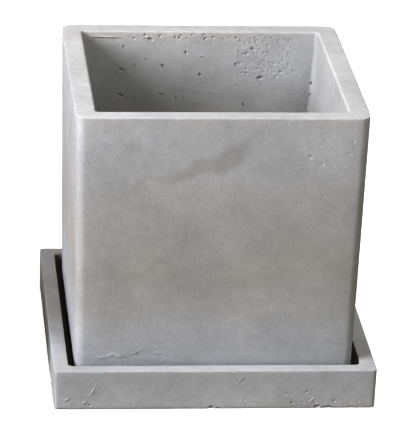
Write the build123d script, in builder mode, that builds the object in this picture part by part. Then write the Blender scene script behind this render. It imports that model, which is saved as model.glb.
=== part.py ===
"""Hand-cast cement planter box: a square pot that stands loose in a matching square saucer.

The origin is the centre of the saucer's underside, +Z is up, and the front faces -Y.
"""
from build123d import *
import os

# Pot, in millimetres, with its drafts in degrees
POT_WIDTH = 150.0            # outer square at the rim
POT_HEIGHT = 146.6
POT_DRAFT = 1.0              # the outside narrows from the rim to the foot
POT_WALL = 11.0              # wall thickness at the rim
POT_FLOOR = 15.0
CAVITY_DRAFT = 3.2           # the cavity narrows faster, so that the core could be drawn out
POT_ARRIS = 5.0              # rounding of the upright outer edges
CAVITY_ARRIS = 1.6           # rounding of the upright inner corners
CAVITY_COVE = 1.2            # rounding where the inner walls meet the floor
RIM_OUTER_ROUND = 1.4
RIM_INNER_ROUND = 2.4
FOOT_CHAMFER = 1.2           # broken edge round the underside

# Drainage under the pot
DRAIN_DIAMETER = 18.0
GROOVE_WIDTH = 9.0
GROOVE_DEPTH = 2.5

# Saucer
SAUCER_WIDTH = 167.6         # outer square at the rim
SAUCER_HEIGHT = 21.6
SAUCER_DRAFT = 0.7           # the outside narrows from the rim to the foot
SAUCER_RIM = 8.0             # wall thickness at the rim
SAUCER_FLOOR = 10.0
RECESS_DRAFT = 1.7           # the recess narrows from the rim to its floor
SAUCER_ARRIS = 2.0
RECESS_ARRIS = 2.6
SAUCER_RIM_ROUND = 0.8
SAUCER_FOOT_CHAMFER = 0.8

recess_width = SAUCER_WIDTH - 2 * SAUCER_RIM
pot_base = SAUCER_FLOOR      # the pot stands on the saucer's floor
pot_rim = pot_base + POT_HEIGHT
cavity_width = POT_WIDTH - 2 * POT_WALL
cavity_floor = pot_base + POT_FLOOR

cavity_middle = (cavity_floor + pot_rim) / 2
recess_middle = (SAUCER_FLOOR + SAUCER_HEIGHT) / 2
SAME_LEVEL = 0.1             # edges whose middles differ by less than this are one ring

# Saucer: a shallow square tray with a level floor. Its sides and its recess keep their widths
# at the rim, and the drafts start from there.
with BuildPart() as saucer:
    with BuildSketch(Plane.XY):
        Rectangle(SAUCER_WIDTH, SAUCER_WIDTH)
    extrude(amount=SAUCER_HEIGHT)
    saucer_rim_plane = Plane.XY.offset(SAUCER_HEIGHT)
    draft(saucer.faces().filter_by(Axis.Z, reverse=True), saucer_rim_plane, -SAUCER_DRAFT)
    fillet(saucer.edges().group_by(Axis.Z)[1], SAUCER_ARRIS)
    chamfer(saucer.faces().sort_by(Axis.Z)[0].edges(), SAUCER_FOOT_CHAMFER)

    with BuildSketch(Plane.XY.offset(SAUCER_FLOOR)):
        Rectangle(recess_width, recess_width)
    extrude(amount=SAUCER_HEIGHT - SAUCER_FLOOR, mode=Mode.SUBTRACT)
    recess_walls = saucer.faces(Select.LAST).filter_by(Axis.Z, reverse=True)
    draft(recess_walls, saucer_rim_plane, RECESS_DRAFT)
    recess_corners = saucer.edges().filter_by_position(
        Axis.Z, recess_middle - SAME_LEVEL, recess_middle + SAME_LEVEL)
    fillet(recess_corners, RECESS_ARRIS)
    fillet(saucer.faces().sort_by(Axis.Z)[-1].edges(), SAUCER_RIM_ROUND)

# Pot: a thick-walled square vessel, a little wider at the rim than at the foot, with a cavity
# for the soil.
with BuildPart() as pot:
    with BuildSketch(Plane.XY.offset(pot_base)):
        Rectangle(POT_WIDTH, POT_WIDTH)
    extrude(amount=POT_HEIGHT)
    pot_rim_plane = Plane.XY.offset(pot_rim)
    draft(pot.faces().filter_by(Axis.Z, reverse=True), pot_rim_plane, -POT_DRAFT)
    fillet(pot.edges().group_by(Axis.Z)[1], POT_ARRIS)
    chamfer(pot.faces().sort_by(Axis.Z)[0].edges(), FOOT_CHAMFER)
    fillet(pot.faces().sort_by(Axis.Z)[-1].edges(), RIM_OUTER_ROUND)

    with BuildSketch(Plane.XY.offset(cavity_floor)):
        Rectangle(cavity_width, cavity_width)
    extrude(amount=pot_rim - cavity_floor, mode=Mode.SUBTRACT)
    cavity_walls = pot.faces(Select.LAST).filter_by(Axis.Z, reverse=True)
    draft(cavity_walls, pot_rim_plane, CAVITY_DRAFT)
    cavity_corners = pot.edges().filter_by_position(
        Axis.Z, cavity_middle - SAME_LEVEL, cavity_middle + SAME_LEVEL)
    fillet(cavity_corners, CAVITY_ARRIS)
    soil_floor = pot.faces().filter_by(Axis.Z).sort_by(Axis.Z)[1]
    fillet(soil_floor.edges(), CAVITY_COVE)
    rim = pot.faces().sort_by(Axis.Z)[-1]
    fillet(rim.inner_wires()[0].edges(), RIM_INNER_ROUND)

    # Two crossed grooves in the underside lead water from the drain hole to the saucer.
    with BuildSketch(Plane.XY.offset(pot_base)):
        Rectangle(POT_WIDTH, GROOVE_WIDTH)
        Rectangle(GROOVE_WIDTH, POT_WIDTH)
    extrude(amount=GROOVE_DEPTH, mode=Mode.SUBTRACT)

    # The drain hole goes through the middle of the floor.
    with Locations((0, 0, cavity_floor)):
        Hole(DRAIN_DIAMETER / 2, POT_FLOOR)

saucer.part.label = "saucer"
pot.part.label = "pot"

os.makedirs("parts", exist_ok=True)
export_step(saucer.part, "parts/saucer.step")
export_step(pot.part, "parts/pot.step")
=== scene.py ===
"""Hand-cast cement planter box: a square pot that stands loose in a matching square saucer."""
import math

import bpy
import bmesh
from mathutils import Matrix, Vector, noise


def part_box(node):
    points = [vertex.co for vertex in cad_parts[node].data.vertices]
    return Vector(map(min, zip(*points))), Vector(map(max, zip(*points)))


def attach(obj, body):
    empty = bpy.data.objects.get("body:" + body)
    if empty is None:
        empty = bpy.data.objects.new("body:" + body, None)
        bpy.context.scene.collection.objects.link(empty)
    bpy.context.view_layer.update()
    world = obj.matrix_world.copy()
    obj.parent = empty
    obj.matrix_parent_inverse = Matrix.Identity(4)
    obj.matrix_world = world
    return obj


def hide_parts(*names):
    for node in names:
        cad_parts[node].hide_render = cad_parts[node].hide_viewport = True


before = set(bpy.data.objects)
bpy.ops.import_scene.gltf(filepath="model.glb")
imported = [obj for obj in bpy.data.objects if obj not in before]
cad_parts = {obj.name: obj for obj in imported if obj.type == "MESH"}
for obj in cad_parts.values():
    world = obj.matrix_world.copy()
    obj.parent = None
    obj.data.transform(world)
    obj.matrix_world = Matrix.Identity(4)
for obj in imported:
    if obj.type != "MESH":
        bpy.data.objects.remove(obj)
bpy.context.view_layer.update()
MM = 0.001


# ---------------------------------------------------------------------------
# The saucer: a shallow square dish cast from the same cement as the pot.
# It was poured upside down in a tapered mould, so its rim is smooth and its
# lower edge, where the mix was struck off, is chipped and full of air holes.
# ---------------------------------------------------------------------------

saucer_low, saucer_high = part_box("saucer")
SAUCER_HALF = saucer_high.x
SAUCER_HEIGHT = saucer_high.z - saucer_low.z
SAUCER_DRAFT_INSET = 0.25 * MM     # how much narrower the foot is than the rim
RECESS_HALF = 75.8 * MM
RECESS_FOOT_HALF = 75.46 * MM
SAUCER_FLOOR = 10.0 * MM
SAUCER_ARRIS = 2.0 * MM
RECESS_ARRIS = 2.6 * MM
SAUCER_RIM_ROUND = 0.45 * MM
SAUCER_FOOT_ROUND = 0.8 * MM
SAUCER_RELIEF = 0.12 * MM          # how far the uprights are worn back
SAUCER_SIDE_FALL = 0.02 * MM       # how far the side has drawn in at its first row of points
SAUCER_SIDE_STEP = 2.0 * MM        # from the rim to that row
SAUCER_FOOT_STEP = 3 * MM          # from the side to the first row under the foot
RIM_STEP = 1.5 * MM                # from a rim's inner rounding to its first flat row
NODE_COLUMN = 220                  # spacing of nodes in the editor
NODE_ROW = 420


def straight(start, end, parts):
    """Section points from start up to, but not at, end.

    A point is (half width, corner radius, height, relief).
    """
    return [Vector(start).lerp(Vector(end), i / parts) for i in range(parts)]


def rounded(centre, radius, corner, first, last, parts, relief=0.0):
    """Section points round an edge.

    The centre is (half width, height), and the angles are degrees from outward.
    """
    points = []
    for i in range(parts + 1):
        angle = math.radians(first + (last - first) * i / parts)
        points.append(Vector((
            centre[0] + radius * math.cos(angle),
            max(corner + radius * math.cos(angle), 0.0),
            centre[1] + radius * math.sin(angle),
            relief,
        )))
    return points


def section_object(name, points, closed):
    """A thin line of points for the casting tree to turn."""
    mesh = bpy.data.meshes.new(name)
    if closed:
        points = points + [points[0]]
    lines = [(i, i + 1) for i in range(len(points) - 1)]
    mesh.from_pydata([tuple(p)[:3] for p in points], lines, [])
    relief = mesh.attributes.new("relief", "FLOAT", "POINT")
    relief.data.foreach_set("value", [p[3] for p in points])
    piece = bpy.data.objects.new(name, mesh)
    bpy.context.scene.collection.objects.link(piece)
    return piece


def lay_out(groups, main_row=()):
    """Sets out the nodes of a tree: each frame's nodes in a row, and the main row above them."""
    for level, (group, members) in enumerate(groups.items()):
        group.location = (0, -NODE_ROW * level)
        for column, node in enumerate(members):
            node.parent = group
            node.location = (NODE_COLUMN * column, -40)
    for column, node in enumerate(main_row):
        node.location = (NODE_COLUMN * column, 300)


def square_casting_tree():
    """Geometry nodes that turn a section round a rounded square.

    They then give it the slow waves of a plywood mould and folds of wet mix near the foot.
    """
    tree = bpy.data.node_groups.new("square_casting", "GeometryNodeTree")
    face = tree.interface
    for name, kind in (
        ("Section", "Geometry"), ("Side steps", "Int"), ("Corner steps", "Int"),
        ("Relief reach", "Float"), ("Mould wave", "Float"), ("Skin ripple", "Float"),
        ("Fold depth", "Float"), ("Fold top", "Float"), ("Wave seed", "Float"),
        ("Material", "Material"),
    ):
        face.new_socket(name=name, in_out="INPUT", socket_type="NodeSocket" + kind)
    face.new_socket(name="Casting", in_out="OUTPUT", socket_type="NodeSocketGeometry")
    nodes = tree.nodes
    links = tree.links

    sizes = nodes.new("NodeGroupInput")
    sizes.label = "sizes of the casting"
    section_count = nodes.new("GeometryNodeAttributeDomainSize")
    section_count.label = "points in the section"
    per_side = nodes.new("ShaderNodeMath")
    per_side.label = "steps per side and corner"
    ring_steps = nodes.new("ShaderNodeMath")
    ring_steps.label = "steps round the square"
    ring_points = nodes.new("ShaderNodeMath")
    ring_points.label = "points round the square"
    skin = nodes.new("GeometryNodeMeshGrid")
    skin.label = "flat skin before it is bent"
    frame_count = nodes.new("NodeFrame")
    frame_count.label = "how many points the skin has"

    index = nodes.new("GeometryNodeInputIndex")
    index.label = "number of the point"
    row_share = nodes.new("ShaderNodeMath")
    row_share.label = "rows and part rows"
    row = nodes.new("ShaderNodeMath")
    row.label = "place along the section"
    place = nodes.new("ShaderNodeMath")
    place.label = "place round the square"
    section_place = nodes.new("GeometryNodeInputPosition")
    section_place.label = "section point"
    sampled = nodes.new("GeometryNodeSampleIndex")
    sampled.label = "section point of this row"
    parts = nodes.new("ShaderNodeSeparateXYZ")
    parts.label = "half width, corner, height"
    section_relief = nodes.new("GeometryNodeInputNamedAttribute")
    section_relief.label = "relief in the section"
    sampled_relief = nodes.new("GeometryNodeSampleIndex")
    sampled_relief.label = "relief of this row"
    frame_section = nodes.new("NodeFrame")
    frame_section.label = "the section point of each row"

    side_share = nodes.new("ShaderNodeMath")
    side_share.label = "sides and part sides"
    side = nodes.new("ShaderNodeMath")
    side.label = "which side"
    side_place = nodes.new("ShaderNodeMath")
    side_place.label = "steps along this side"
    along_free = nodes.new("ShaderNodeMath")
    along_free.label = "share of the flat part"
    along = nodes.new("ShaderNodeMath")
    along.label = "stop at the corner"
    past = nodes.new("ShaderNodeMath")
    past.label = "steps past the flat part"
    past_only = nodes.new("ShaderNodeMath")
    past_only.label = "only in the corner"
    bend = nodes.new("ShaderNodeMath")
    bend.label = "share of the corner"
    angle = nodes.new("ShaderNodeMath")
    angle.label = "angle in the corner"
    sine = nodes.new("ShaderNodeMath")
    sine.label = "sideways part of the corner"
    cosine = nodes.new("ShaderNodeMath")
    cosine.label = "outward part of the corner"
    core = nodes.new("ShaderNodeMath")
    core.label = "half width inside the corners"
    core_eased = nodes.new("ShaderNodeMath")
    core_eased.label = "corners eased inward"
    across_unit = nodes.new("ShaderNodeMath")
    across_unit.label = "from minus one to one"
    across_flat = nodes.new("ShaderNodeMath")
    across_flat.label = "sideways on the flat part"
    across = nodes.new("ShaderNodeMath")
    across.label = "sideways with the corner"
    outward = nodes.new("ShaderNodeMath")
    outward.label = "outward with the corner"
    off_centre = nodes.new("ShaderNodeMath")
    off_centre.label = "share of the way to a corner"
    to_corner = nodes.new("ShaderNodeMath")
    to_corner.label = "share left to the corner"
    distance = nodes.new("ShaderNodeMath")
    distance.label = "distance to the corner"
    nearness = nodes.new("ShaderNodeMapRange")
    nearness.label = "near the corner"
    nearness_eased = nodes.new("ShaderNodeMath")
    nearness_eased.label = "eased"
    eased_in = nodes.new("ShaderNodeMath")
    eased_in.label = "worn back here"
    outward_worn = nodes.new("ShaderNodeMath")
    outward_worn.label = "outward after easing"
    front = nodes.new("ShaderNodeMath")
    front.label = "towards the front"
    joined = nodes.new("ShaderNodeCombineXYZ")
    joined.label = "point on the front side"
    quarter = nodes.new("ShaderNodeMath")
    quarter.label = "quarter turns"
    turned = nodes.new("ShaderNodeVectorRotate")
    turned.label = "turn to its own side"
    frame_square = nodes.new("NodeFrame")
    frame_square.label = "rounded square"

    bent = nodes.new("GeometryNodeSetPosition")
    bent.label = "bend the skin"
    closed = nodes.new("GeometryNodeMergeByDistance")
    closed.label = "close the seam"
    where = nodes.new("GeometryNodeInputPosition")
    where.label = "place on the casting"
    wave = nodes.new("ShaderNodeTexNoise")
    wave.label = "slow mould wave"
    ripple = nodes.new("ShaderNodeTexNoise")
    ripple.label = "ripple of the skin"
    wave_depth = nodes.new("ShaderNodeMath")
    wave_depth.label = "depth of the wave"
    ripple_depth = nodes.new("ShaderNodeMath")
    ripple_depth.label = "depth of the ripple"
    fold_stretch = nodes.new("ShaderNodeVectorMath")
    fold_stretch.label = "long and flat"
    fold = nodes.new("ShaderNodeTexNoise")
    fold.label = "folds of the wet mix"
    fold_lines = nodes.new("ShaderNodeMapRange")
    fold_lines.label = "only the deepest folds"
    fold_height = nodes.new("ShaderNodeSeparateXYZ")
    fold_height.label = "height"
    fold_where = nodes.new("ShaderNodeMapRange")
    fold_where.label = "only near the foot"
    fold_sunk = nodes.new("ShaderNodeMath")
    fold_sunk.label = "folds near the foot"
    fold_depth = nodes.new("ShaderNodeMath")
    fold_depth.label = "depth with the folds"
    inward = nodes.new("ShaderNodeMath")
    inward.label = "only inward"
    normal = nodes.new("GeometryNodeInputNormal")
    normal.label = "outward direction"
    shift = nodes.new("ShaderNodeVectorMath")
    shift.label = "inward shift"
    waved = nodes.new("GeometryNodeSetPosition")
    waved.label = "wave the casting"
    frame_wave = nodes.new("NodeFrame")
    frame_wave.label = "hand-made unevenness"
    smooth = nodes.new("GeometryNodeSetShadeSmooth")
    smooth.label = "smooth shading"
    real = nodes.new("GeometryNodeRealizeInstances")
    real.label = "one plain mesh"
    cement_on = nodes.new("GeometryNodeSetMaterial")
    cement_on.label = "cement"
    result = nodes.new("NodeGroupOutput")
    result.label = "finished casting"

    groups = {
        frame_count: (section_count, per_side, ring_steps, ring_points, skin),
        frame_section: (
            index, row_share, row, place, section_place, sampled, parts,
            section_relief, sampled_relief,
        ),
        frame_square: (
            side_share, side, side_place, along_free, along, past, past_only, bend, angle, sine,
            cosine, core, core_eased, across_unit, across_flat, across, outward, off_centre, to_corner,
            distance, nearness, nearness_eased, eased_in, outward_worn, front, joined, quarter,
            turned,
        ),
        frame_wave: (
            where, wave, ripple, wave_depth, ripple_depth, fold_stretch, fold, fold_lines,
            fold_height, fold_where, fold_sunk, fold_depth, inward, normal, shift, waved,
        ),
    }
    lay_out(groups, main_row=(sizes, bent, closed, smooth, real, cement_on, result))

    section_count.component = "MESH"
    per_side.operation = "ADD"
    ring_steps.operation = "MULTIPLY"
    ring_steps.inputs[1].default_value = 4.0
    ring_points.operation = "ADD"
    ring_points.inputs[1].default_value = 1.0
    skin.inputs["Size X"].default_value = 1.0
    skin.inputs["Size Y"].default_value = 1.0
    row_share.operation = "DIVIDE"
    row.operation = "FLOOR"
    place.operation = "MODULO"
    sampled.data_type = "FLOAT_VECTOR"
    side_share.operation = "DIVIDE"
    side.operation = "FLOOR"
    side_place.operation = "MODULO"
    along_free.operation = "DIVIDE"
    along.operation = "MINIMUM"
    along.inputs[1].default_value = 1.0
    past.operation = "SUBTRACT"
    past_only.operation = "MAXIMUM"
    past_only.inputs[1].default_value = 0.0
    bend.operation = "DIVIDE"
    angle.operation = "MULTIPLY"
    angle.inputs[1].default_value = math.pi / 2
    sine.operation = "SINE"
    cosine.operation = "COSINE"
    section_relief.data_type = "FLOAT"
    section_relief.inputs["Name"].default_value = "relief"
    sampled_relief.data_type = "FLOAT"
    core.operation = "SUBTRACT"
    core_eased.operation = "SUBTRACT"
    off_centre.operation = "ABSOLUTE"
    to_corner.operation = "SUBTRACT"
    to_corner.inputs[0].default_value = 1.0
    distance.operation = "MULTIPLY"
    nearness.inputs["From Min"].default_value = 0.0
    nearness.inputs["To Min"].default_value = 1.0
    nearness.inputs["To Max"].default_value = 0.0
    nearness_eased.operation = "POWER"
    nearness_eased.inputs[1].default_value = 2.0
    eased_in.operation = "MULTIPLY"
    outward_worn.operation = "SUBTRACT"
    across_unit.operation = "MULTIPLY_ADD"
    across_unit.inputs[1].default_value = 2.0
    across_unit.inputs[2].default_value = -1.0
    across_flat.operation = "MULTIPLY"
    across.operation = "MULTIPLY_ADD"
    outward.operation = "MULTIPLY_ADD"
    front.operation = "MULTIPLY"
    front.inputs[1].default_value = -1.0
    quarter.operation = "MULTIPLY"
    quarter.inputs[1].default_value = math.pi / 2
    turned.rotation_type = "Z_AXIS"
    closed.inputs["Distance"].default_value = 0.002 * MM
    wave.noise_dimensions = "4D"
    wave.inputs["Scale"].default_value = 17.0
    wave.inputs["Detail"].default_value = 1.5
    ripple.noise_dimensions = "4D"
    ripple.inputs["Scale"].default_value = 85.0
    ripple.inputs["Detail"].default_value = 2.0
    wave_depth.operation = "MULTIPLY"
    ripple_depth.operation = "MULTIPLY_ADD"
    fold_stretch.operation = "MULTIPLY"
    fold_stretch.inputs[1].default_value = (26.0, 26.0, 190.0)
    fold.noise_dimensions = "4D"
    fold.inputs["Scale"].default_value = 1.0
    fold.inputs["Detail"].default_value = 3.0
    fold.inputs["Roughness"].default_value = 0.6
    fold.inputs["Distortion"].default_value = 0.6
    fold_lines.interpolation_type = "SMOOTHSTEP"
    fold_lines.inputs["From Min"].default_value = 0.5
    fold_lines.inputs["From Max"].default_value = 0.72
    fold_where.interpolation_type = "SMOOTHSTEP"
    fold_where.inputs["To Min"].default_value = 1.0
    fold_where.inputs["To Max"].default_value = 0.0
    fold_sunk.operation = "MULTIPLY"
    fold_depth.operation = "MULTIPLY_ADD"
    inward.operation = "MULTIPLY"
    inward.inputs[1].default_value = -1.0
    shift.operation = "SCALE"

    links.new(sizes.outputs["Section"], section_count.inputs[0])
    links.new(sizes.outputs["Side steps"], per_side.inputs[0])
    links.new(sizes.outputs["Corner steps"], per_side.inputs[1])
    links.new(per_side.outputs[0], ring_steps.inputs[0])
    links.new(ring_steps.outputs[0], ring_points.inputs[0])
    links.new(section_count.outputs["Point Count"], skin.inputs["Vertices X"])
    links.new(ring_points.outputs[0], skin.inputs["Vertices Y"])
    links.new(index.outputs[0], row_share.inputs[0])
    links.new(ring_points.outputs[0], row_share.inputs[1])
    links.new(row_share.outputs[0], row.inputs[0])
    links.new(index.outputs[0], place.inputs[0])
    links.new(ring_points.outputs[0], place.inputs[1])
    links.new(sizes.outputs["Section"], sampled.inputs["Geometry"])
    links.new(section_place.outputs[0], sampled.inputs["Value"])
    links.new(row.outputs[0], sampled.inputs["Index"])
    links.new(sampled.outputs["Value"], parts.inputs[0])
    links.new(place.outputs[0], side_share.inputs[0])
    links.new(per_side.outputs[0], side_share.inputs[1])
    links.new(side_share.outputs[0], side.inputs[0])
    links.new(place.outputs[0], side_place.inputs[0])
    links.new(per_side.outputs[0], side_place.inputs[1])
    links.new(side_place.outputs[0], along_free.inputs[0])
    links.new(sizes.outputs["Side steps"], along_free.inputs[1])
    links.new(along_free.outputs[0], along.inputs[0])
    links.new(side_place.outputs[0], past.inputs[0])
    links.new(sizes.outputs["Side steps"], past.inputs[1])
    links.new(past.outputs[0], past_only.inputs[0])
    links.new(past_only.outputs[0], bend.inputs[0])
    links.new(sizes.outputs["Corner steps"], bend.inputs[1])
    links.new(bend.outputs[0], angle.inputs[0])
    links.new(angle.outputs[0], sine.inputs[0])
    links.new(angle.outputs[0], cosine.inputs[0])
    links.new(parts.outputs["X"], core.inputs[0])
    links.new(parts.outputs["Y"], core.inputs[1])
    links.new(along.outputs[0], across_unit.inputs[0])
    links.new(sizes.outputs["Section"], sampled_relief.inputs["Geometry"])
    links.new(section_relief.outputs["Attribute"], sampled_relief.inputs["Value"])
    links.new(row.outputs[0], sampled_relief.inputs["Index"])
    links.new(core.outputs[0], core_eased.inputs[0])
    links.new(sampled_relief.outputs["Value"], core_eased.inputs[1])
    links.new(across_unit.outputs[0], across_flat.inputs[0])
    links.new(core_eased.outputs[0], across_flat.inputs[1])
    links.new(sine.outputs[0], across.inputs[0])
    links.new(parts.outputs["Y"], across.inputs[1])
    links.new(across_flat.outputs[0], across.inputs[2])
    links.new(cosine.outputs[0], outward.inputs[0])
    links.new(parts.outputs["Y"], outward.inputs[1])
    links.new(core.outputs[0], outward.inputs[2])
    links.new(across_unit.outputs[0], off_centre.inputs[0])
    links.new(off_centre.outputs[0], to_corner.inputs[1])
    links.new(to_corner.outputs[0], distance.inputs[0])
    links.new(core.outputs[0], distance.inputs[1])
    links.new(distance.outputs[0], nearness.inputs["Value"])
    links.new(sizes.outputs["Relief reach"], nearness.inputs["From Max"])
    links.new(nearness.outputs["Result"], nearness_eased.inputs[0])
    links.new(nearness_eased.outputs[0], eased_in.inputs[0])
    links.new(sampled_relief.outputs["Value"], eased_in.inputs[1])
    links.new(outward.outputs[0], outward_worn.inputs[0])
    links.new(eased_in.outputs[0], outward_worn.inputs[1])
    links.new(outward_worn.outputs[0], front.inputs[0])
    links.new(across.outputs[0], joined.inputs["X"])
    links.new(front.outputs[0], joined.inputs["Y"])
    links.new(parts.outputs["Z"], joined.inputs["Z"])
    links.new(side.outputs[0], quarter.inputs[0])
    links.new(joined.outputs[0], turned.inputs["Vector"])
    links.new(quarter.outputs[0], turned.inputs["Angle"])
    links.new(skin.outputs["Mesh"], bent.inputs["Geometry"])
    links.new(turned.outputs[0], bent.inputs["Position"])
    links.new(bent.outputs["Geometry"], closed.inputs["Geometry"])
    links.new(closed.outputs["Geometry"], waved.inputs["Geometry"])
    links.new(where.outputs[0], wave.inputs["Vector"])
    links.new(where.outputs[0], ripple.inputs["Vector"])
    links.new(sizes.outputs["Wave seed"], wave.inputs["W"])
    links.new(sizes.outputs["Wave seed"], ripple.inputs["W"])
    links.new(wave.outputs["Fac"], wave_depth.inputs[0])
    links.new(sizes.outputs["Mould wave"], wave_depth.inputs[1])
    links.new(ripple.outputs["Fac"], ripple_depth.inputs[0])
    links.new(sizes.outputs["Skin ripple"], ripple_depth.inputs[1])
    links.new(wave_depth.outputs[0], ripple_depth.inputs[2])
    links.new(where.outputs[0], fold_stretch.inputs[0])
    links.new(fold_stretch.outputs[0], fold.inputs["Vector"])
    links.new(sizes.outputs["Wave seed"], fold.inputs["W"])
    links.new(fold.outputs["Fac"], fold_lines.inputs["Value"])
    links.new(where.outputs[0], fold_height.inputs[0])
    links.new(fold_height.outputs["Z"], fold_where.inputs["Value"])
    links.new(sizes.outputs["Fold top"], fold_where.inputs["From Max"])
    links.new(fold_lines.outputs["Result"], fold_sunk.inputs[0])
    links.new(fold_where.outputs["Result"], fold_sunk.inputs[1])
    links.new(fold_sunk.outputs[0], fold_depth.inputs[0])
    links.new(sizes.outputs["Fold depth"], fold_depth.inputs[1])
    links.new(ripple_depth.outputs[0], fold_depth.inputs[2])
    links.new(fold_depth.outputs[0], inward.inputs[0])
    links.new(normal.outputs[0], shift.inputs[0])
    links.new(inward.outputs[0], shift.inputs["Scale"])
    links.new(shift.outputs[0], waved.inputs["Offset"])
    links.new(waved.outputs["Geometry"], smooth.inputs["Geometry"])
    links.new(smooth.outputs["Geometry"], real.inputs["Geometry"])
    links.new(real.outputs["Geometry"], cement_on.inputs["Geometry"])
    links.new(sizes.outputs["Material"], cement_on.inputs["Material"])
    links.new(cement_on.outputs["Geometry"], result.inputs["Casting"])
    return tree


def run_tree(piece, tree, values):
    """Runs a geometry nodes tree on a piece and keeps the result as a plain mesh."""
    modifier = piece.modifiers.new(tree.name, "NODES")
    modifier.node_group = tree
    for item in tree.interface.items_tree:
        if item.in_out == "INPUT" and item.name in values:
            modifier[item.identifier] = values[item.name]
    settle(piece)


def settle(piece):
    """Keeps what the modifiers of a piece make as its own mesh."""
    bpy.context.view_layer.update()
    graph = bpy.context.evaluated_depsgraph_get()
    mesh = bpy.data.meshes.new_from_object(piece.evaluated_get(graph), depsgraph=graph)
    while mesh.materials and mesh.materials[0] is None:
        mesh.materials.pop(index=0)
    piece.modifiers.clear()
    piece.data = mesh
    mesh.name = piece.name


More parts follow.
